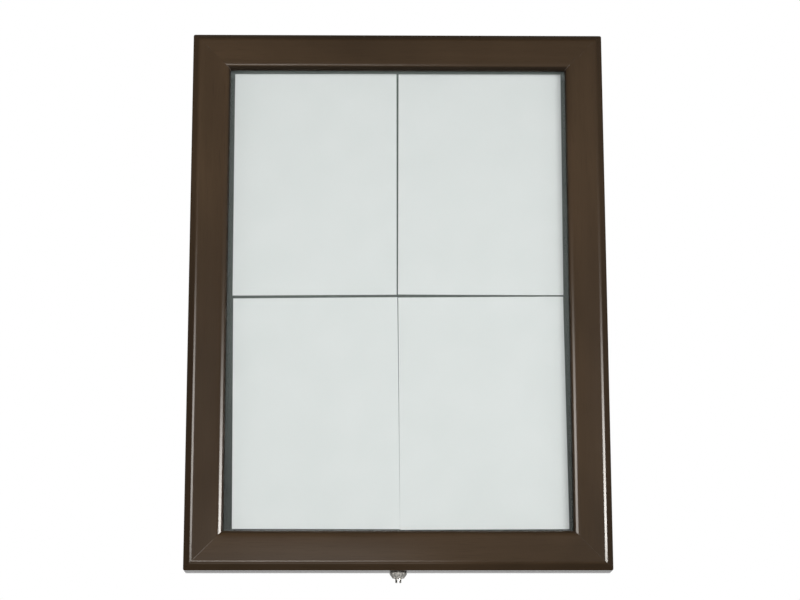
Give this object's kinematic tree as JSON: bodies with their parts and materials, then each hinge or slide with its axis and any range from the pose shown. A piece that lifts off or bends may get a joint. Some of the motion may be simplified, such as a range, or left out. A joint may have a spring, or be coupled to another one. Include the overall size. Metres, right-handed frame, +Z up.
{
  "type": "information display",
  "caption": "Flat wall-hung display case with a mitred dark wood frame, top-hung glazed door, cam lock under its bottom edge and blank sheets on a steel panel.",
  "frame": {"origin": "centre of the flat back face, where the case meets the wall", "axes": "+X to the right seen from the front, +Y into the wall, +Z up"},
  "size_m": [0.53, 0.04, 0.7124],
  "materials": {
    "dark_lacquer": "dark brown lacquer, satin gloss",
    "bare_wood": "bare beech",
    "clear_glass": "clear float glass",
    "black_rubber": "matt black rubber",
    "dark_steel_panel": "dark grey-green paint, satin",
    "white_sheet": "matt white sheet",
    "hardboard": "brown hardboard",
    "polished_nickel": "polished nickel",
    "zinc_steel": "zinc-plated steel",
    "hinge_brass": "brushed brass"
  },
  "bodies": {
    "case": {"case_top_rail": "dark_lacquer", "case_bottom_rail": "dark_lacquer", "case_left_stile": "dark_lacquer", "case_right_stile": "dark_lacquer", "left_door_bumper": "black_rubber", "right_door_bumper": "black_rubber", "display_panel": "dark_steel_panel", "upper_left_sheet": "white_sheet", "upper_right_sheet": "white_sheet", "lower_left_sheet": "white_sheet", "lower_right_sheet": "white_sheet", "back_board": "hardboard", "lock_rosette": "polished_nickel", "lock_barrel": "polished_nickel", "lock_nut": "zinc_steel", "left_hinge_case_leaf": "hinge_brass", "right_hinge_case_leaf": "hinge_brass", "left_hinge_pin": "hinge_brass", "right_hinge_pin": "hinge_brass", "left_hinge_case_screw_1": "hinge_brass", "left_hinge_case_screw_2": "hinge_brass", "right_hinge_case_screw_1": "hinge_brass", "right_hinge_case_screw_2": "hinge_brass", "left_hanger_plate": "zinc_steel", "right_hanger_plate": "zinc_steel", "left_hanger_screw_1": "zinc_steel", "left_hanger_screw_2": "zinc_steel", "right_hanger_screw_1": "zinc_steel", "right_hanger_screw_2": "zinc_steel"},
    "door": {"door_top_rail": "dark_lacquer", "door_bottom_rail": "dark_lacquer", "door_left_stile": "dark_lacquer", "door_right_stile": "dark_lacquer", "upper_left_mitre_key": "bare_wood", "upper_right_mitre_key": "bare_wood", "lower_left_mitre_key": "bare_wood", "lower_right_mitre_key": "bare_wood", "glass_pane": "clear_glass", "top_glazing_strip": "black_rubber", "bottom_glazing_strip": "black_rubber", "left_glazing_strip": "black_rubber", "right_glazing_strip": "black_rubber", "top_glazing_bead": "dark_lacquer", "bottom_glazing_bead": "dark_lacquer", "left_glazing_bead": "dark_lacquer", "right_glazing_bead": "dark_lacquer", "strike_hook": "zinc_steel", "strike_hook_screw_1": "zinc_steel", "strike_hook_screw_2": "zinc_steel", "left_hinge_door_leaf": "hinge_brass", "right_hinge_door_leaf": "hinge_brass", "left_hinge_door_screw_1": "hinge_brass", "left_hinge_door_screw_2": "hinge_brass", "right_hinge_door_screw_1": "hinge_brass", "right_hinge_door_screw_2": "hinge_brass"},
    "lock": {"lock_spindle": "polished_nickel", "lock_cam": "zinc_steel", "cam_screw": "zinc_steel"}
  },
  "joints": [
    {"name": "door_swing", "type": "hinge", "parent": "case", "child": "door", "pos_m": [0, -0.02185, 0.3485], "axis": [-1, 0, 0], "range_deg": [0, 180]},
    {"name": "lock_turn", "type": "hinge", "parent": "case", "child": "lock", "pos_m": [0, -0.0115, -0.348], "axis": [0, 0, 1], "range_deg": [0, 90]}
  ]
}
